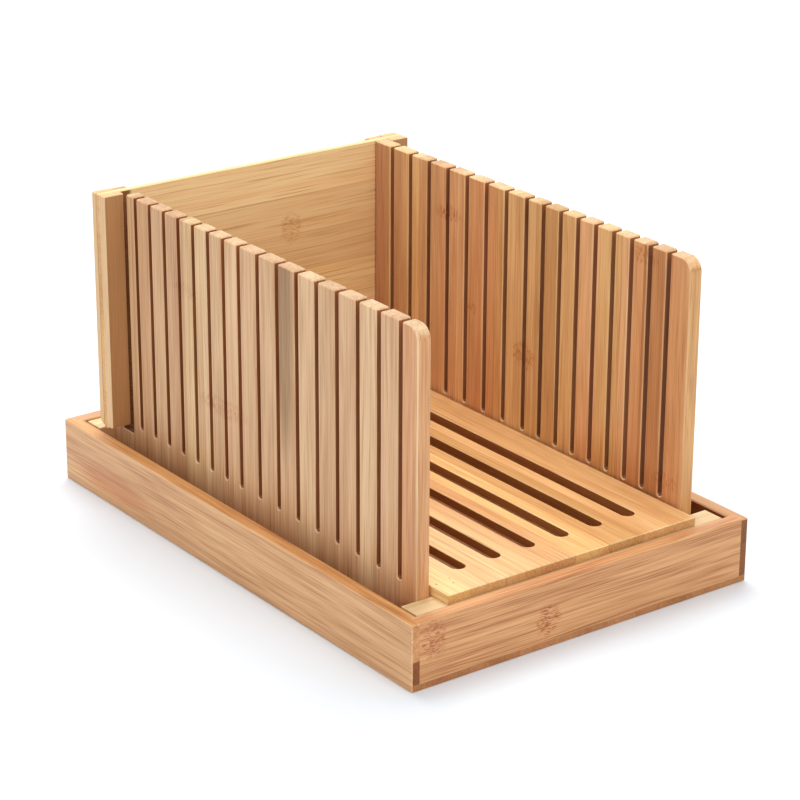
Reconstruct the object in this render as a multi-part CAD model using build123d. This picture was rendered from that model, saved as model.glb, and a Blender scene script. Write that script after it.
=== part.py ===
from build123d import *
import os

# Bread slicer guide in bamboo: a shallow crumb tray, a slotted cutting board
# that stands in it on two battens, two upright guide panels with knife slots,
# and a back board that drops into a slot in each panel.
# Millimetres. +X is right, +Y is back, +Z is up.
# The origin is the centre of the tray's underside.

# ---- crumb tray ----
tray_width = 230.0
tray_length = 347.5
tray_height = 38.0
tray_floor_thickness = 4.0
wall_thickness = 8.4
corner_tongue = 4.9          # what is left of a side wall's end, outside the end wall

# ---- cutting board and its battens ----
board_thickness = 5.4
board_side_clearance = 1.6   # from the board's edge to a guide panel
board_reveal = 0.6           # how far the batten shows in front of the board
batten_depth = 14.1          # measured front to back
batten_drop = 0.8            # how far a batten's top lies below the tray's rim
batten_side_gap = 2.1
batten_end_gap = 1.05
crumb_slot_width = 8.5
crumb_slot_pitch = 23.35
crumb_slot_count = 6
crumb_slot_margin = 22.2     # from the board's end to the slot's end

# ---- guide panels ----
panel_thickness = 8.4
panel_side_room = 12.0       # from the tray's side wall to a panel's outer face
panel_height = 181.4         # from the tray's floor
panel_corner_radius = 8.0
slat_corner_ease = 0.6       # where a slat's top meets the slot beside it
panel_end_clearance = 0.3    # from the panel's end to a batten
knife_slot_width = 3.6
knife_slot_rise = 1.0        # the slot stops this far above the cutting board
wide_pitch = 18.45           # thick slices
narrow_pitch = 15.15         # thin slices
front_run_steps = 8          # steps from the first slot before the pitch changes
left_first_slot = 15.0       # from the panel's front end to its first slot
right_first_slot = 17.9
narrowest_slat = 5.0         # wood left between the last knife slot and the back board's slot

# ---- back board ----
back_board_thickness = 4.2
back_board_inset = 10.1      # from the panel's rear end to the back board's rear face
back_slot_clearance = 0.3    # on each face of the back board
back_slot_drop = 4.1         # the slot goes this far below the cutting board's top
back_slot_corner_radius = 1.75
left_back_slot_relief = 7.5  # extra width that the left panel's slot has in front
front_cheek_thickness = 5.2
rear_cheek_thickness = 4.2
cheek_width = 12.6
cheek_side_clearance = 0.2   # from a panel's outer face to the cheeks
cheek_rise = 1.2             # from the back board's lower edge to the cheeks' lower ends
cheek_foot_radius = 4.0      # rounded heel of the rear cheeks
end_radius = 1.0             # rounding over the top of each end, board and cheeks alike

# ---- rails on the tray floor, which hold the panels' feet ----
rail_width = 6.0
rail_height = 10.0
rail_clearance = 0.3

# ---- edges that were sanded ----
edge_ease = 0.6
fine_ease = 0.4
cut_overrun = 1.0            # how far a cutting shape passes the face that it opens

# ---- places worked out from the sizes above ----
inner_half_width = tray_width / 2 - wall_thickness
inner_half_length = tray_length / 2 - wall_thickness
batten_outer_y = inner_half_length - batten_end_gap
batten_inner_y = batten_outer_y - batten_depth
board_half_length = batten_outer_y - board_reveal
board_underside = tray_height - batten_drop
board_top = board_underside + board_thickness
panel_outer_x = inner_half_width - panel_side_room
panel_inner_x = panel_outer_x - panel_thickness
panel_half_length = batten_inner_y - panel_end_clearance
panel_top = tray_floor_thickness + panel_height
back_board_rear_y = panel_half_length - back_board_inset
back_board_front_y = back_board_rear_y - back_board_thickness
cheek_inner_x = panel_outer_x + cheek_side_clearance
cheek_outer_x = cheek_inner_x + cheek_width


def block(x_span, y_span, z_span):
    """A plain bar between two limits along each axis."""
    sizes = [high - low for low, high in (x_span, y_span, z_span)]
    middle = [(high + low) / 2 for low, high in (x_span, y_span, z_span)]
    return Pos(*middle) * Box(*sizes)


def mirrored_span(span, side):
    """The span itself on the right (+1), or its mirror image on the left (-1)."""
    return span if side > 0 else (-span[1], -span[0])


def upright_corners(piece):
    """The four edges of a bar that run up and down."""
    return piece.edges().filter_by(Axis.Z)


# ---- tray ----

def tray_floor():
    """One flat plate under all four walls."""
    plate = block((-tray_width / 2, tray_width / 2),
                  (-tray_length / 2, tray_length / 2),
                  (0, tray_floor_thickness))
    plate = chamfer(upright_corners(plate), edge_ease)
    return chamfer(plate.edges().group_by(Axis.Z)[0], edge_ease)


def tray_rim():
    """The four walls as one ring, with the edges that were sanded after gluing."""
    heights = (tray_floor_thickness, tray_height)
    outer = block((-tray_width / 2, tray_width / 2),
                  (-tray_length / 2, tray_length / 2), heights)
    outer = chamfer(upright_corners(outer), edge_ease)
    inner = block((-inner_half_width, inner_half_width),
                  (-inner_half_length, inner_half_length),
                  (tray_floor_thickness - cut_overrun, tray_height + cut_overrun))
    ring = outer - inner
    return chamfer(ring.edges().group_by(Axis.Z)[-1], edge_ease)


def end_wall_place(end):
    """Where the front (-1) or back (+1) wall lies, between the side walls' tongues."""
    half_length = tray_width / 2 - corner_tongue
    near, far = inner_half_length, tray_length / 2
    return block((-half_length, half_length), mirrored_span((near, far), end),
                 (tray_floor_thickness, tray_height))


def end_wall(end):
    return tray_rim() & end_wall_place(end)


def side_wall(side):
    """A wall that runs the full length, rabbeted at both ends for the end walls."""
    reach = mirrored_span((inner_half_width, tray_width / 2), side)
    place = block(reach, (-tray_length / 2, tray_length / 2),
                  (tray_floor_thickness, tray_height))
    return (tray_rim() & place) - end_wall_place(-1) - end_wall_place(1)


def foot_rail(side, outside):
    """A strip on the tray floor beside one face of a panel's foot."""
    if outside:
        near = panel_outer_x + rail_clearance
        span = (near, near + rail_width)
    else:
        near = panel_inner_x - rail_clearance
        span = (near - rail_width, near)
    rail = block(mirrored_span(span, side), (-panel_half_length, panel_half_length),
                 (tray_floor_thickness, tray_floor_thickness + rail_height))
    return chamfer(rail.edges().group_by(Axis.Z)[-1], edge_ease)


# ---- lift-out cutting board ----

def batten(end):
    """A bar across the tray that carries one end of the cutting board."""
    half_length = inner_half_width - batten_side_gap
    bar = block((-half_length, half_length),
                mirrored_span((batten_inner_y, batten_outer_y), end),
                (tray_floor_thickness, board_underside))
    return chamfer(bar.edges().group_by(Axis.Z)[-1], fine_ease)


def cutting_board():
    """A thin board with long round-ended slots that let the crumbs through."""
    half_width = panel_inner_x - board_side_clearance
    outline = Rectangle(2 * half_width, 2 * board_half_length)
    slot_length = 2 * (board_half_length - crumb_slot_margin)
    for index in range(crumb_slot_count):
        x = (index - (crumb_slot_count - 1) / 2) * crumb_slot_pitch
        outline -= Pos(x, 0) * SlotOverall(slot_length, crumb_slot_width, rotation=90)
    board = Pos(0, 0, board_underside) * extrude(outline, board_thickness)
    levels = board.faces().filter_by(Axis.Z).sort_by(Axis.Z)
    return chamfer(levels[0].edges() + levels[-1].edges(), fine_ease)


# ---- guide panels ----

def knife_slot(y):
    """A narrow cut, open at the top, with a round lower end."""
    radius = knife_slot_width / 2
    low = board_top + knife_slot_rise + radius
    high = panel_top + cut_overrun
    cut = Pos(y, (low + high) / 2) * Rectangle(knife_slot_width, high - low)
    return cut + Pos(y, low) * Circle(radius)


def back_board_slot(relief):
    """The wider cut that the back board drops into, open at the top."""
    front = back_board_front_y - back_slot_clearance - relief
    rear = back_board_rear_y + back_slot_clearance
    low = board_top - back_slot_drop
    high = panel_top + cut_overrun
    cut = Pos((front + rear) / 2, (low + high) / 2) * Rectangle(rear - front, high - low)
    lower_corners = cut.vertices().group_by(Axis.Y)[0]
    return fillet(lower_corners, back_slot_corner_radius)


def knife_slot_places(first_slot, front_pitch, rear_pitch, relief):
    """Slot centres from the front end to the last one that leaves a sound slat."""
    slot_front = back_board_front_y - back_slot_clearance - relief
    last = slot_front - narrowest_slat - knife_slot_width / 2
    places = []
    y = first_slot - panel_half_length
    while y <= last:
        places.append(y)
        y += front_pitch if len(places) <= front_run_steps else rear_pitch
    return places


def top_corners(outline):
    """The corners along the outline's top, from front to back."""
    return outline.vertices().group_by(Axis.Y)[-1].sort_by(Axis.X)


def guide_panel(side, first_slot, front_pitch, rear_pitch, relief):
    """An upright panel cut into slats, standing on the tray floor."""
    middle = (tray_floor_thickness + panel_top) / 2
    outline = Pos(0, middle) * Rectangle(2 * panel_half_length, panel_height)
    for y in knife_slot_places(first_slot, front_pitch, rear_pitch, relief):
        outline -= knife_slot(y)
    outline -= back_board_slot(relief)
    front_corner, *slat_corners, rear_corner = top_corners(outline)
    outline = chamfer(slat_corners, slat_corner_ease)
    front_corner, *_, rear_corner = top_corners(outline)
    outline = fillet([front_corner, rear_corner], panel_corner_radius)
    start = mirrored_span((panel_inner_x, panel_outer_x), side)[0]
    panel = extrude(Plane.YZ.offset(start) * outline, panel_thickness)
    broad_faces = panel.faces().filter_by(Axis.X).sort_by(Axis.X)
    return chamfer(broad_faces[0].edges() + broad_faces[-1].edges(), edge_ease)


# ---- back board ----

def round_over_end(piece, side):
    """The piece with the top edge of its left (-1) or right (+1) end rounded over."""
    top_edges = piece.edges().group_by(Axis.Z)[-1].filter_by(Axis.Y)
    end_edge = top_edges.sort_by(Axis.X)[-1 if side > 0 else 0]
    return fillet(end_edge, end_radius)


def back_board():
    """A thin board across both panels, standing on the cutting board."""
    board = block((-cheek_outer_x, cheek_outer_x),
                  (back_board_front_y, back_board_rear_y), (board_top, panel_top))
    board = round_over_end(round_over_end(board, -1), 1)
    top_edges = board.edges().group_by(Axis.Z)[-1].filter_by(Axis.X)
    return chamfer(top_edges, fine_ease)


def front_cheek(side):
    """A strip glued to the front of the back board, outside a panel."""
    strip = block(mirrored_span((cheek_inner_x, cheek_outer_x), side),
                  (back_board_front_y - front_cheek_thickness, back_board_front_y),
                  (board_top + cheek_rise, panel_top))
    strip = round_over_end(strip, side)
    front_face = strip.faces().sort_by(Axis.Y)[0]
    return chamfer(front_face.edges(), fine_ease)


def rear_cheek(side):
    """A strip glued to the rear of the back board, with a rounded heel."""
    strip = block(mirrored_span((cheek_inner_x, cheek_outer_x), side),
                  (back_board_rear_y, back_board_rear_y + rear_cheek_thickness),
                  (board_top + cheek_rise, panel_top))
    strip = round_over_end(strip, side)
    rear_face = strip.faces().sort_by(Axis.Y)[-1]
    heel = rear_face.edges().group_by(Axis.Z)[0]
    return fillet(heel, cheek_foot_radius)


# ---- every piece under its own name ----

left_slots = (left_first_slot, wide_pitch, narrow_pitch, left_back_slot_relief)
right_slots = (right_first_slot, narrow_pitch, wide_pitch, 0.0)

pieces = {
    "tray_floor": tray_floor(),
    "tray_front_wall": end_wall(-1),
    "tray_back_wall": end_wall(1),
    "tray_left_wall": side_wall(-1),
    "tray_right_wall": side_wall(1),
    "left_outer_foot_rail": foot_rail(-1, outside=True),
    "left_inner_foot_rail": foot_rail(-1, outside=False),
    "right_inner_foot_rail": foot_rail(1, outside=False),
    "right_outer_foot_rail": foot_rail(1, outside=True),
    "front_batten": batten(-1),
    "rear_batten": batten(1),
    "cutting_board": cutting_board(),
    "left_guide_panel": guide_panel(-1, *left_slots),
    "right_guide_panel": guide_panel(1, *right_slots),
    "back_board": back_board(),
    "left_front_cheek": front_cheek(-1),
    "left_rear_cheek": rear_cheek(-1),
    "right_front_cheek": front_cheek(1),
    "right_rear_cheek": rear_cheek(1),
}

os.makedirs("parts", exist_ok=True)
for name, piece in pieces.items():
    export_step(piece, f"parts/{name}.step")
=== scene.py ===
# %% [markdown]
# # A bamboo bread slicer guide
#
# The real thing is a knock-down kitchen tool: a shallow crumb tray, a slotted
# cutting board on two battens, two upright panels full of knife slots, and a back
# board that drops in between them. Everything is laminated bamboo, oiled and lightly
# sanded, so nearly all of the work here is one convincing bamboo.
#
# The shapes come with the frame. This script gives every piece its finish, sets the
# table under it, and lights and frames it as a plain product photograph.

import math

import bpy
from mathutils import Matrix, Vector


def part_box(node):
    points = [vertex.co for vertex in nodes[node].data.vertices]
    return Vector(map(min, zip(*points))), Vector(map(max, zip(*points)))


MM = 1000.0
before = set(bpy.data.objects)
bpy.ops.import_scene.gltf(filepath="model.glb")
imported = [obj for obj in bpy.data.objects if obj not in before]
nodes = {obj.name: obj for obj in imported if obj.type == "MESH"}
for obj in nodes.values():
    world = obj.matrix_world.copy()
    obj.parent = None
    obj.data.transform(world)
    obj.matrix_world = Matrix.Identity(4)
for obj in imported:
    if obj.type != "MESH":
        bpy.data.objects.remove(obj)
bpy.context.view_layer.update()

# %% [markdown]
# ## Shader maths as Python
#
# A material is a web of nodes, which is hard to read as a list of links. So one small
# class wraps a node's output and overloads the arithmetic, and each sum adds its own
# Math node. A second class holds the web and has one method that adds any other node.
# The same web serves the table and the room, since both are node trees too.


# %% A wire between nodes
class Wire:
    """One node's output. Arithmetic on it adds Math nodes."""

    def __init__(self, web, socket):
        self.web, self.socket = web, socket

    def maths(self, operation, *values):
        return self.web.node("Math", {"operation": operation}, dict(enumerate(values)))

    def __add__(self, other):
        return self.maths("ADD", self, other)

    def __sub__(self, other):
        return self.maths("SUBTRACT", self, other)

    def __rsub__(self, other):
        return self.maths("SUBTRACT", other, self)

    def __mul__(self, other):
        return self.maths("MULTIPLY", self, other)

    def __truediv__(self, other):
        return self.maths("DIVIDE", self, other)

    def __abs__(self):
        return self.maths("ABSOLUTE", self)

    def floor(self):
        return self.maths("FLOOR", self)

    def at_least(self, other):
        return self.maths("MAXIMUM", self, other)

    def ramp(self, low, high):
        """0 below low, 1 above high, and a soft step between."""
        limits = {"Value": self, "From Min": low, "From Max": high}
        return self.web.node("MapRange", {"interpolation_type": "SMOOTHSTEP"}, limits)

    def between(self, low, high, rim=0.4):
        """1 between low and high and 0 outside, with a soft rim at both."""
        return self.ramp(low - rim, low + rim) * (1.0 - self.ramp(high - rim, high + rim))

    __radd__ = __add__
    __rmul__ = __mul__


# %% A web of nodes
MIX_COLOUR_A, MIX_COLOUR_B, MIX_COLOUR_RESULT = 6, 7, 2


class Web:
    """The nodes of a material or of the world, and the one method that adds any of them."""

    def __init__(self, owner):
        owner.use_nodes = True
        self.owner, self.tree = owner, owner.node_tree
        self.tree.nodes.clear()

    def node(self, kind, settings=None, sockets=None, outputs=(0,)):
        made = self.tree.nodes.new("ShaderNode" + kind)
        for setting, value in (settings or {}).items():
            setattr(made, setting, value)
        for socket, value in (sockets or {}).items():
            if isinstance(value, Wire):
                self.tree.links.new(value.socket, made.inputs[socket])
            else:
                made.inputs[socket].default_value = value
        wires = [Wire(self, made.outputs[output]) for output in outputs]
        return wires[0] if len(wires) == 1 else wires

    def colour(self, how, amount, below, above):
        """Lays one colour over another, as coats of paint are laid."""
        settings = {"data_type": "RGBA", "blend_type": how}
        sockets = {0: amount, MIX_COLOUR_A: below, MIX_COLOUR_B: above}
        return self.node("Mix", settings, sockets, (MIX_COLOUR_RESULT,))


# %% [markdown]
# ## Colours
#
# Colours are easiest to pick as they look on a screen, from 0 to 255, but a renderer
# counts light, so each one is turned into light once, in Python. Most coats are
# multiplied onto the wood, as oil, dirt and scorch are in life. There white changes
# nothing, and a value above 255 lightens.


# %% Paint
def paint(red, green, blue):
    """A colour as seen on a screen, turned into light for the renderer."""
    def light(value):
        share = value / 255
        return share / 12.92 if share <= 0.04045 else ((share + 0.055) / 1.055) ** 2.4

    return (light(red), light(green), light(blue), 1.0)


WHITE = paint(255, 255, 255)
print("straw as light:", [round(share, 3) for share in paint(246, 216, 162)])

# %% [markdown]
# ## Where a point lies in a board
#
# A bamboo board is glued up from strips about 20 mm wide, each cut from the wall of a
# cane. Four things make it read as bamboo rather than wood. Its fibres run dead
# straight, fine and dense. Each strip has its own tone. A strip crosses a knuckle of
# the cane here and there, where short crooked strokes crowd together. Across the cut
# ends, the fibres show as dots.
#
# A photographed texture would need a seam at every edge. A solid pattern needs none:
# all of it is worked out in millimetres on Object coordinates, with the noise
# stretched along the grain, so long faces show lines and sawn ends show dots.

# %% Places, fibres and spots
AXES = ("X", "Y", "Z")


def measured(web, grain, across):
    """Millimetres along, across and into a board, and how squarely the surface faces each way."""
    into = next(axis for axis in AXES if axis not in (grain, across))
    order = [AXES.index(axis) for axis in (grain, across, into)]
    position = web.node("TexCoord", outputs=("Object",))
    normal = web.node("TexCoord", outputs=("Normal",))
    place = [MM * wire for wire in web.node("SeparateXYZ", sockets={0: position}, outputs=order)]
    facing = [abs(wire) for wire in web.node("SeparateXYZ", sockets={0: normal}, outputs=order)]
    return place, facing


def fibres(web, place, length, width, detail=2.0):
    """Streaks of about this length and width, as values around 0.5."""
    along, across, into = place
    where = web.node("CombineXYZ", sockets={0: along / length, 1: across / width, 2: into / width})
    return web.node("TexNoise", sockets={"Vector": where, "Scale": 1.0, "Detail": detail})


def spot(place, centre, half_size):
    """1 in the middle of an oval on the broad face, falling to 0 at its rim."""
    u = (place[0] - centre[0]) / half_size[0]
    v = (place[1] - centre[1]) / half_size[1]
    return (1.0 - (u * u + v * v)).ramp(0.0, 0.8)


def dice(web, number, seed):
    """The same random number from 0 to 1 for every point with the same whole number."""
    return web.node("TexWhiteNoise", {"noise_dimensions": "1D"}, {"W": number + seed})


# %% [markdown]
# ## Strips and grain
#
# The layers go on from the widest to the finest. Soft clouds, streaks and fine fibres
# come from one noise at three widths, because real fibres are the same thing seen from
# three distances, and the peaks of a fourth make hair-thin dark lines. Then each strip
# gets its own tone and a faint glue line at its joint. Random numbers drawn from the
# strip's own number are enough for that, with no list of strips.

# %% Strips
TONE_SEED, HUE_SEED, HUE_START = 17.0, 31.0, 0.5
TONE_COAT, HUE_COAT, JOINT_COAT = 0.55, 0.6, 0.3
DARKER_STRIP, PINKER_STRIP = paint(214, 196, 180), paint(252, 236, 232)
YELLOWER_STRIP, GLUE_LINE = paint(250, 250, 228), paint(190, 150, 115)


def strip_tones(web, body, across, strip, shift, seed, variety):
    """Makes some strips darker, pinker or yellower, with a faint line at each joint."""
    number = ((across + shift) / strip).floor()
    tone, hue = dice(web, number, TONE_SEED * seed), dice(web, number, HUE_SEED * seed + HUE_START)
    body = web.colour("MULTIPLY", tone.ramp(0.35, 1.0) * (TONE_COAT * variety), body, DARKER_STRIP)
    body = web.colour("MULTIPLY", hue.ramp(0.45, 1.0) * (HUE_COAT * variety), body, PINKER_STRIP)
    body = web.colour("MULTIPLY", (1.0 - hue).ramp(0.55, 1.0) * (HUE_COAT * variety), body, YELLOWER_STRIP)
    from_joint = (0.5 - abs((across + shift) / strip - number - 0.5)) * strip
    joint = 1.0 - from_joint.ramp(0.05, 0.4)
    return web.colour("MULTIPLY", joint * JOINT_COAT, body, GLUE_LINE)


# %% Grain
CLOUD, STREAK, FINE_FIBRE, DARK_LINE = (110.0, 9.0), (80.0, 1.9), (32.0, 0.6), (55.0, 0.75)
SWING, MIDDLE_TONE, LINE_COAT = 1.1, 0.4, 0.5
FIBRE_LINE = paint(205, 165, 130)


def grain_lines(web, place, pale, deep, contrast):
    """Soft clouds, streaks and fine dark lines along the fibres."""
    clouds, streaks = fibres(web, place, *CLOUD), fibres(web, place, *STREAK)
    fine = fibres(web, place, *FINE_FIBRE)
    darkness = (clouds - 0.5) * SWING + (streaks - 0.5) * SWING + (fine - 0.5) * SWING
    body = web.colour("MIX", (darkness * contrast + MIDDLE_TONE).ramp(-0.15, 1.15), pale, deep)
    lines = fibres(web, place, *DARK_LINE, detail=1.0).ramp(0.56, 0.7)
    body = web.colour("MULTIPLY", lines * (LINE_COAT * contrast), body, FIBRE_LINE)
    return body, fine


print("length and width of the grain's layers in mm:", CLOUD, STREAK, FINE_FIBRE, DARK_LINE)

# %% [markdown]
# ## Knuckles
#
# A cane is hollow between its knuckles and solid at them, where the fibres tangle. In a
# strip that shows as a patch of short strokes, some dark and some pale. Short, slightly
# bent fibres inside an oval give just that. Each knuckle is given by the middle of its
# oval and its half size, in millimetres along and across the fibres, and its strength.

# %% Knuckles
BEND_LENGTH, BEND, RAGGED = 5.0, 3.0, 3.0
STROKE = (3.2, 0.75)
HALO_COAT, DARK_COAT, PALE_COAT = 0.3, 0.85, 0.3
KNUCKLE_HALO, DARK_STROKE, PALE_STROKE = paint(232, 196, 166), paint(206, 160, 128), paint(190, 140, 100)


def knuckle_marks(web, body, place, knuckles):
    """Short crooked strokes, dark and pale, crowded together where the cane had a joint."""
    along, across, into = place
    bend = (fibres(web, place, BEND_LENGTH, BEND_LENGTH, detail=1.0) - 0.5) * BEND
    crooked = (along, across + bend, into)
    strokes = fibres(web, crooked, *STROKE, detail=1.0)
    dark, light = strokes.ramp(0.5, 0.62), 1.0 - strokes.ramp(0.36, 0.46)
    ragged = (along + bend * RAGGED, across + bend, into)
    for centre, half_size, strength in knuckles:
        here = spot(ragged, centre, half_size)
        body = web.colour("MULTIPLY", here * (HALO_COAT * strength), body, KNUCKLE_HALO)
        body = web.colour("MULTIPLY", here * dark * (DARK_COAT * strength), body, DARK_STROKE)
        body = web.colour("SCREEN", here * light * (PALE_COAT * strength), body, PALE_STROKE)
    return body


print("length and width of a knuckle's strokes in mm:", STROKE)

# %% [markdown]
# ## Ends, edges and slots
#
# The last coats depend on which way a surface faces. Sawn ends show the fibres as dots,
# chamfers are a little paler, partly from sanding and partly as painted highlight, and
# the walls of a slot get a darker coat, partly the cutter's scorch and partly painted
# shade of the slot's depth. A slot's walls need no mask of their own: they stand square
# to the broad face as the outline does, but lie inside it.

# %% Ends, edges and slots
FIBRE_DOT, DOT_SIZE = paint(200, 150, 115), (8.0, 0.5)
DOT_COAT, SANDED_AND_HIGHLIGHT_COAT = 0.25, 0.2
OUTLINE_RIM, OUTLINE_CORNER, SOFT_STEP = 1.2, 9.0, 0.5


def end_grain(web, body, place, end, shade):
    """Sawn ends: a coat of shade with the fibres as small dark dots."""
    dots = fibres(web, place, *DOT_SIZE).ramp(0.45, 0.62)
    body = web.colour("MULTIPLY", end, body, shade)
    return web.colour("MULTIPLY", end * dots * DOT_COAT, body, FIBRE_DOT)


def sanded_and_highlit_edges(web, body, facing):
    """Makes a chamfer a little paler than the faces beside it: partly sanding, which takes the oil off, and
    partly a painted highlight along the edge.
    """
    squarely = facing[0].at_least(facing[1]).at_least(facing[2])
    return web.colour("SOFT_LIGHT", (1.0 - squarely.ramp(0.9, 0.97)) * SANDED_AND_HIGHLIGHT_COAT, body, WHITE)


def scorched_and_shaded_walls(web, body, place, facing, box, scorch_and_shade):
    """A darker coat on the walls of slots, which lie inside the outline and its round corners: partly
    scorch, partly painted shade.
    """
    rims, corner = [], 1.0
    for value, (low, high) in zip(place, box):
        from_middle, reach = abs(value - (low + high) / 2), (high - low) / 2
        rims.append(from_middle.ramp(reach - OUTLINE_RIM, reach - OUTLINE_RIM + SOFT_STEP))
        corner = corner * from_middle.ramp(reach - OUTLINE_CORNER, reach - OUTLINE_CORNER + SOFT_STEP)
    wall = (1.0 - facing[2].ramp(0.1, 0.5)) * (1.0 - rims[0]) * (1.0 - rims[1]) * (1.0 - corner)
    return web.colour("MULTIPLY", wall, body, scorch_and_shade)


print("a slot's walls lie more than", OUTLINE_RIM, "mm inside the outline")

# %% [markdown]
# ## Oiled skin
#
# The wood is oiled, not varnished, so its shine is soft, and it is dullest on the sawn
# ends, which drink the oil. Varnish would need a clear coat of its own, but oil only
# changes how rough the wood is, so a plain shader does. The fine fibres feed both its
# roughness and a faint bump, so that colour, shine and relief follow the same lines.

# %% Oiled skin
ROUGHNESS, FIBRE_ROUGHNESS, END_ROUGHNESS = 0.45, 0.3, 0.2
RELIEF, RELIEF_STRENGTH, SHINE = 0.00012, 0.35, 0.4


def oiled(web, body, fine, end):
    """Gives a body colour an uneven soft shine and a faint relief of fibres."""
    roughness = ROUGHNESS + (fine - 0.5) * FIBRE_ROUGHNESS + end * END_ROUGHNESS
    bump = web.node("Bump", sockets={"Strength": RELIEF_STRENGTH, "Distance": RELIEF, "Height": fine})
    coats = {"Base Color": body, "Roughness": roughness, "Normal": bump, "Specular IOR Level": SHINE}
    shader = web.node("BsdfPrincipled", sockets=coats)
    web.node("OutputMaterial", sockets={"Surface": shader}, outputs=())


print("the fibres stand", round(MM * RELIEF, 2), "mm proud")

# %% [markdown]
# ## The whole bamboo
#
# One function puts the coats together and dresses a piece with them, so that all the
# pieces look cut from the same stock. It takes a piece's limits from the frame, so it
# knows which walls are slots. A slow sway keeps the grain lines from looking ruled, and
# each strip is slid along by its own random length, so that no line crosses a joint.
#
# `tints` lay ovals of colour on the broad faces, placed as knuckles are: stains, a darker
# patch on the right panel, and painted shade on the back board. `ends`, `edges` and
# `broad` are coats for the three ways in which a face can look. `inside` holds coats for
# broad faces at a certain depth, used for painted shade on a wall's inner face, and
# `end_tints` for part of a sawn end.

# %% The whole bamboo
SWAY_SIZE, SWAY = (150.0, 40.0), 7.0
SEED_SLIDE, STRIP_SLIDE = 1000.0, 300.0


def bamboo(piece, grain, across, pale, deep, strip=20.0, shift=0.0, seed=0.0, contrast=1.0,
           variety=1.0, knuckles=(), tints=(), ends=WHITE, edges=WHITE, broad=WHITE, inside=(),
           end_tints=(), scorch_and_shade=None):
    """Dresses a piece in bamboo whose fibres run along one axis, in strips side by side on another."""
    web = Web(bpy.data.materials.new(piece.replace("_", " ") + " bamboo"))
    straight, facing = measured(web, grain, across)
    sway = (fibres(web, straight, *SWAY_SIZE, detail=1.0) - 0.5) * SWAY
    slide = dice(web, ((straight[1] + shift) / strip).floor(), TONE_SEED * seed)
    along = straight[0] + SEED_SLIDE * seed + STRIP_SLIDE * slide
    place = (along, straight[1] + sway, straight[2])

    body, fine = grain_lines(web, place, pale, deep, contrast)
    body = strip_tones(web, body, straight[1], strip, shift, seed, variety)
    end, edge, broadside = [share.ramp(0.8, 0.95) for share in facing]
    for centre, half_size, colour in tints:
        body = web.colour("MULTIPLY", broadside * spot(straight, centre, half_size), body, colour)
    body = knuckle_marks(web, body, straight, knuckles)

    body = end_grain(web, body, place, end, ends)
    body = web.colour("MULTIPLY", edge, body, edges)
    body = web.colour("MULTIPLY", broadside, body, broad)
    # Painted shade on broad faces at a given depth, such as a wall's inner face.
    for low, high, colour in inside:
        body = web.colour("MULTIPLY", broadside * straight[2].between(low, high), body, colour)
    for low, high, colour in end_tints:
        body = web.colour("MULTIPLY", end * straight[1].between(low, high), body, colour)
    # Chamfers are made paler: partly sanding, partly painted highlight.
    body = sanded_and_highlit_edges(web, body, facing)
    # The slots' walls get a darker coat: partly scorch, partly painted shade.
    if scorch_and_shade:
        low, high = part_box(piece)
        sides = [AXES.index(axis) for axis in (grain, across)]
        box = [(MM * low[side], MM * high[side]) for side in sides]
        body = scorched_and_shaded_walls(web, body, straight, facing, box, scorch_and_shade)

    oiled(web, body, fine, end)
    slots = nodes[piece].data.materials
    slots.clear()
    slots.append(web.owner)
    print(piece, "has its fibres along", grain, "and", len(web.tree.nodes), "nodes")


# %% [markdown]
# ## The crumb tray
#
# The walls are the reddest bamboo of the set, the front one most of all. A wall is one
# broad strip with no glue line, and a strip set wider than the wall gives that. The side
# walls run through to the front, where their sawn ends show as two narrow dark tongues.
# A coat on part of the end makes those, rather than a second material, so that the grain
# runs on round the corner. The floor is a thin plate under all four walls, so its edge
# shows as a line all round. The foot rails stand out of sight.

# %% Tray walls
ONE_STRIP, WALL_SHIFT = 60.0, 12.0
front_pale, front_deep = paint(230, 172, 124), paint(178, 114, 70)
tray_pale, tray_deep = paint(234, 186, 138), paint(186, 128, 84)
# The second colour is painted shade for the right wall's inner face.
tongue_shade, painted_inner_shade = paint(176, 148, 126), paint(160, 130, 104)

bamboo("tray_front_wall", "X", "Z", front_pale, front_deep, ONE_STRIP, WALL_SHIFT, seed=0.13, contrast=1.2,
       knuckles=[((-101.0, 27.0), (10.0, 14.0), 0.9), ((-26.0, 16.0), (8.0, 11.0), 1.2)])
bamboo("tray_back_wall", "X", "Z", tray_pale, tray_deep, ONE_STRIP, WALL_SHIFT, seed=0.71,
       knuckles=[((38.0, 22.0), (8.0, 12.0), 0.8)])
bamboo("tray_left_wall", "Y", "Z", tray_pale, tray_deep, ONE_STRIP, WALL_SHIFT, seed=0.37,
       ends=paint(246, 228, 214), edges=paint(255, 240, 214), end_tints=[(4.0, 17.0, tongue_shade)],
       tints=[((120.0, 13.0), (50.0, 10.0), paint(244, 222, 214))])
# The right wall's inner face is darkened as painted shade inside the tray.
bamboo("tray_right_wall", "Y", "Z", tray_pale, tray_deep, ONE_STRIP, WALL_SHIFT, seed=0.53,
       inside=[(105.0, 111.0, painted_inner_shade)], end_tints=[(4.0, 38.0, tongue_shade)],
       knuckles=[((-70.0, 20.0), (8.0, 12.0), 0.7)])

# %% Tray floor and foot rails
bamboo("tray_floor", "Y", "X", tray_pale, tray_deep, shift=5.0, seed=0.91, contrast=0.7,
       ends=paint(226, 208, 190))
for rail in ("left_outer", "left_inner", "right_inner", "right_outer"):
    bamboo(rail + "_foot_rail", "Y", "X", tray_pale, tray_deep, shift=3.0, seed=0.2)

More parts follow.
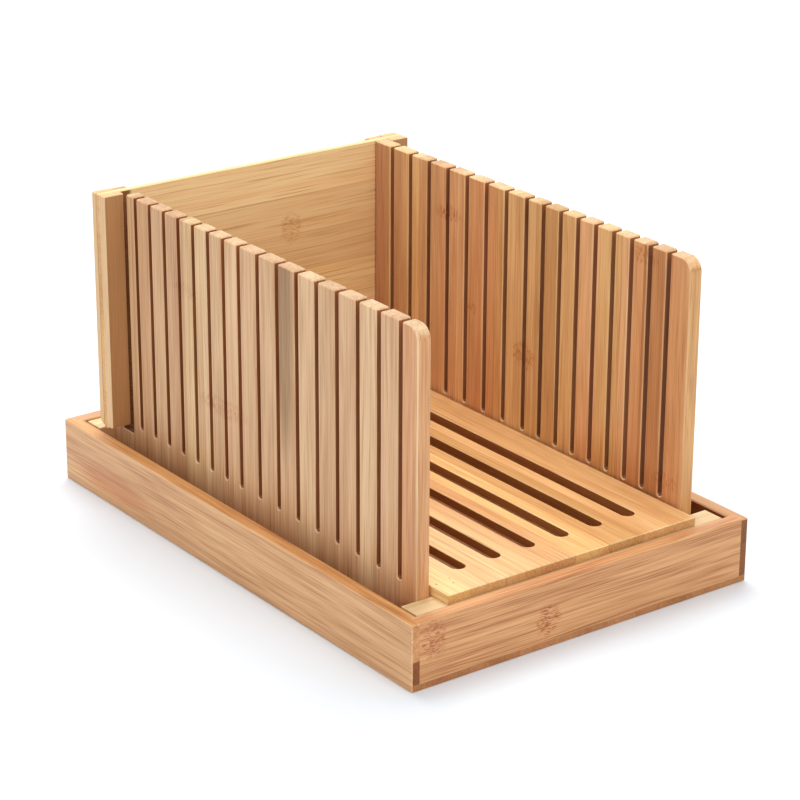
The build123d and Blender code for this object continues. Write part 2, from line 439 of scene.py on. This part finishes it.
# %% [markdown]
# ## The grate
#
# The battens are the palest pieces, nearly straw. The board is honey-coloured, paler
# towards the left, with a few small specks near its front left corner. The warmth on the
# right and the specks are stains of one kind: one oval is as large as the board's half,
# and the others are under two millimetres. The board's strips are as wide as its crumb
# slots are apart, so that each slot runs along the middle of one. The slots' walls get a
# darker coat, partly the router's scorch and partly painted shade of the slots' depth.

# %% Battens and cutting board
batten_pale, batten_deep = paint(254, 232, 188), paint(238, 200, 146)
for batten, seed in (("front_batten", 0.44), ("rear_batten", 0.64)):
    bamboo(batten, "X", "Y", batten_pale, batten_deep, shift=4.0, seed=seed, contrast=0.6)

BOARD_STRIP = 23.35
board_pale, board_deep = paint(254, 226, 170), paint(222, 168, 108)
warmer, speck = paint(252, 234, 218), paint(120, 84, 56)
# The crumb slots' walls are darkened: partly scorch, partly painted shade.
bamboo("cutting_board", "Y", "X", board_pale, board_deep, BOARD_STRIP, seed=0.27, contrast=0.9,
       ends=paint(240, 222, 200), scorch_and_shade=paint(176, 132, 98),
       tints=[((0.0, 50.0), (400.0, 90.0), warmer), ((-149.1, -81.2), (0.8, 0.7), speck),
              ((-147.2, -71.2), (0.6, 0.5), speck), ((-152.9, -73.2), (0.7, 0.5), speck)])

# %% [markdown]
# ## The guide panels
#
# The left panel is beige, with some pink and some yellow slats, and one that is
# greenish grey near its top. The right one is browner, most of all in three groups of
# slats and low down near the front. The strips' random tones give the pink and yellow
# slats. A slat isn't a face of its own, so the other differences can't be materials of
# their own. They are ovals of colour instead, most of them stains so long that they cover
# whole slats, and one a darker patch low down near the front of the right panel.
# The knife slots are milled with a thin cutter, which leaves their lower ends round and
# scorches their walls. The walls' darker coat is partly that scorch and partly painted
# shade of the slots' depth.

# %% Left guide panel
PANEL_STRIP, FULL_HEIGHT = 18.45, 400.0
# Darker coat for the knife slots' walls: partly scorch, partly painted shade.
slot_scorch_and_shade = paint(184, 162, 146)
left_pale, left_deep = paint(236, 198, 152), paint(196, 148, 104)
grey_slat, front_slat = paint(204, 202, 186), paint(250, 224, 208)
bamboo("left_guide_panel", "Z", "Y", left_pale, left_deep, PANEL_STRIP, shift=6.0, seed=0.08, variety=0.75,
       ends=paint(242, 254, 262), edges=paint(252, 230, 214), scorch_and_shade=slot_scorch_and_shade,
       knuckles=[((86.0, 30.0), (7.0, 30.0), 0.5), ((145.0, 68.0), (6.0, 14.0), 0.35),
                 ((24.0, -140.0), (12.0, 9.0), 0.7)],
       tints=[((150.0, -32.0), (90.0, 10.0), grey_slat),
              ((90.0, -142.0), (FULL_HEIGHT, 11.0), front_slat)])

# %% Right guide panel
right_pale, right_deep = paint(248, 204, 152), paint(212, 161, 112)
# The third colour only makes the right panel darker low down near the front.
rear_slats, brown_slats, darker_low_front = paint(222, 206, 210), paint(238, 222, 212), paint(218, 196, 180)
bamboo("right_guide_panel", "Z", "Y", right_pale, right_deep, PANEL_STRIP, shift=2.0, seed=0.66, variety=1.1,
       ends=paint(240, 258, 272), edges=paint(240, 228, 208), scorch_and_shade=slot_scorch_and_shade,
       knuckles=[((158.0, 62.0), (6.0, 15.0), 0.9), ((105.5, 38.5), (4.0, 6.0), 0.7),
                 ((90.0, -11.0), (9.0, 13.0), 0.8), ((179.0, -113.0), (6.0, 13.0), 0.8),
                 ((54.0, -136.0), (6.0, 13.0), 0.6)],
       tints=[((90.0, 125.0), (FULL_HEIGHT, 27.0), rear_slats),
              ((90.0, 27.0), (FULL_HEIGHT, 27.0), brown_slats),
              ((90.0, -125.0), (FULL_HEIGHT, 30.0), brown_slats),
              ((10.0, -90.0), (60.0, 75.0), darker_low_front)])

# %% [markdown]
# ## The back board
#
# The board's fibres run across, and its cheeks' run up and down. The cheeks are four
# strips glued to the board's ends, outside the panels, and their broad faces are the
# brownest on the object. Where the board slides in the panels' slots, its face gets
# painted shade: a long narrow darker oval at each panel stands in for the shade deep in
# the slot, with a soft rim.

# %% Back board
PANEL_MIDDLE, SLOT_SHADE_HEIGHT, SLOT_SHADE_HALF_SIZE = 90.4, 100.0, (5.0, 300.0)
back_pale, back_deep = paint(255, 228, 176), paint(242, 196, 138)
# Painted shade for the board's face where it lies deep in the panels' slots.
painted_slot_shade = paint(146, 118, 94)
bamboo("back_board", "X", "Z", back_pale, back_deep, strip=24.0, shift=7.0, seed=0.33,
       ends=paint(234, 214, 196), edges=paint(250, 240, 230),
       knuckles=[((24.0, 142.0), (9.0, 12.0), 0.6)],
       tints=[((side * PANEL_MIDDLE, SLOT_SHADE_HEIGHT), SLOT_SHADE_HALF_SIZE, painted_slot_shade) for side in (-1, 1)])

# %% Cheeks
cheek_pale, cheek_deep = paint(234, 195, 145), paint(212, 166, 116)
for index, cheek in enumerate(("left_front", "left_rear", "right_front", "right_rear")):
    bamboo(cheek + "_cheek", "Z", "X", cheek_pale, cheek_deep, ONE_STRIP, seed=0.15 + 0.2 * index,
           contrast=0.5, variety=0.0, broad=paint(206, 184, 166))

# %% [markdown]
# ## The white table
#
# The photograph is a white cut-out look: a white table that keeps only a faint soft
# shadow. More light would burn out the wood, so the table is a pale diffuse surface with
# a little light of its own, which the camera alone sees. It gets stronger away from the
# object, where the soft boxes no longer reach, and never brightens the wood.

# %% White table
TABLE_SIZE = 12.0
TABLE_GLOW, FAR_GLOW = 0.04, 0.5
GLOW_STARTS, GLOW_FULL = 0.4, 1.2
TABLE_COLOUR = (0.79, 0.838, 0.885, 1.0)
bpy.ops.mesh.primitive_plane_add(size=TABLE_SIZE)
table = bpy.context.object
table.name = "white_table"
web = Web(bpy.data.materials.new("white table"))
seen = web.node("LightPath", outputs=("Is Camera Ray",))
here = web.node("TexCoord", outputs=("Object",))
from_object = web.node("VectorMath", {"operation": "LENGTH"}, {0: here}, ("Value",))
brightness = TABLE_GLOW + FAR_GLOW * from_object.ramp(GLOW_STARTS, GLOW_FULL)
glow = web.node("Emission", sockets={"Color": seen * brightness, "Strength": 1.0})
cloth = web.node("BsdfDiffuse", sockets={"Color": TABLE_COLOUR})
surface = web.node("AddShader", sockets={0: cloth, 1: glow})
web.node("OutputMaterial", sockets={"Surface": surface}, outputs=())
table.data.materials.append(web.owner)
print("table:", TABLE_SIZE, "m square, with", len(web.tree.nodes), "nodes")

# %% [markdown]
# ## The white room
#
# A photographer's white room fills the shadows from all round. It has to look pure white
# to the camera and in gloss, but light the object less than that, so its brightness
# depends on the kind of ray that meets it.

# %% White room
ROOM_LIGHT = 0.66
world = bpy.data.worlds.new("studio")
bpy.context.scene.world = world
web = Web(world)
direct, mirrored = web.node("LightPath", outputs=("Is Camera Ray", "Is Glossy Ray"))
brightness = ROOM_LIGHT + (1.0 - ROOM_LIGHT) * direct.at_least(mirrored)
room = web.node("Background", sockets={"Color": brightness, "Strength": 1.0})
web.node("OutputWorld", sockets={"Surface": room}, outputs=())
print("room light on the object:", ROOM_LIGHT)

# %% [markdown]
# ## Soft boxes
#
# Three large square lamps, as in a small studio. The strongest hangs behind and above,
# so that the tops are bright and the shadow falls forward. One in front and one on the
# left keep the near faces readable. Large lamps give the soft edge that the shadow has.

# %% Soft boxes
AIM = Vector((0.0, 0.0, 0.08))


def soft_box(name, place, size, power):
    """A square lamp that faces about the middle of the object."""
    lamp = bpy.data.lights.new(name, "AREA")
    lamp.shape = "SQUARE"
    lamp.size = size
    lamp.energy = power
    holder = bpy.data.objects.new(name, lamp)
    turned = (Vector(place) - AIM).to_track_quat("Z", "Y").to_matrix().to_4x4()
    holder.matrix_world = Matrix.Translation(place) @ turned
    bpy.context.scene.collection.objects.link(holder)
    print(name, size, "m", power, "W")


soft_box("overhead box", (0.3, 0.6, 1.5), 1.2, 21.0)
soft_box("front box", (-0.1, -1.3, 1.3), 1.0, 6.0)
soft_box("left box", (-1.3, -0.5, 0.9), 1.2, 4.0)

# %% [markdown]
# ## Camera
#
# The place, turn and lens were worked out from the lines of the photograph: a long lens,
# standing at the left front and looking down. The view transform is the plain one, so a
# colour comes out as it was picked.

# %% Camera
LENS, SENSOR = 122.878, 36.0
YAW, PITCH, ROLL = math.radians(36.523), math.radians(21.327), math.radians(0.236)
STAND = (-0.855504, -1.162606, 0.642249)
camera_data = bpy.data.cameras.new("camera")
camera_data.sensor_width = SENSOR
camera_data.lens = LENS
camera = bpy.data.objects.new("camera", camera_data)
bpy.context.scene.collection.objects.link(camera)
around = Matrix.Rotation(-YAW, 4, "Z")
tilted = Matrix.Rotation(math.pi / 2 - PITCH, 4, "X") @ Matrix.Rotation(ROLL, 4, "Z")
camera.matrix_world = Matrix.Translation(STAND) @ around @ tilted
bpy.context.scene.camera = camera
bpy.context.scene.view_settings.view_transform = "Standard"
print("camera:", LENS, "mm lens,", round(math.dist(STAND, (0.0, 0.0, 0.0)), 2), "m away")
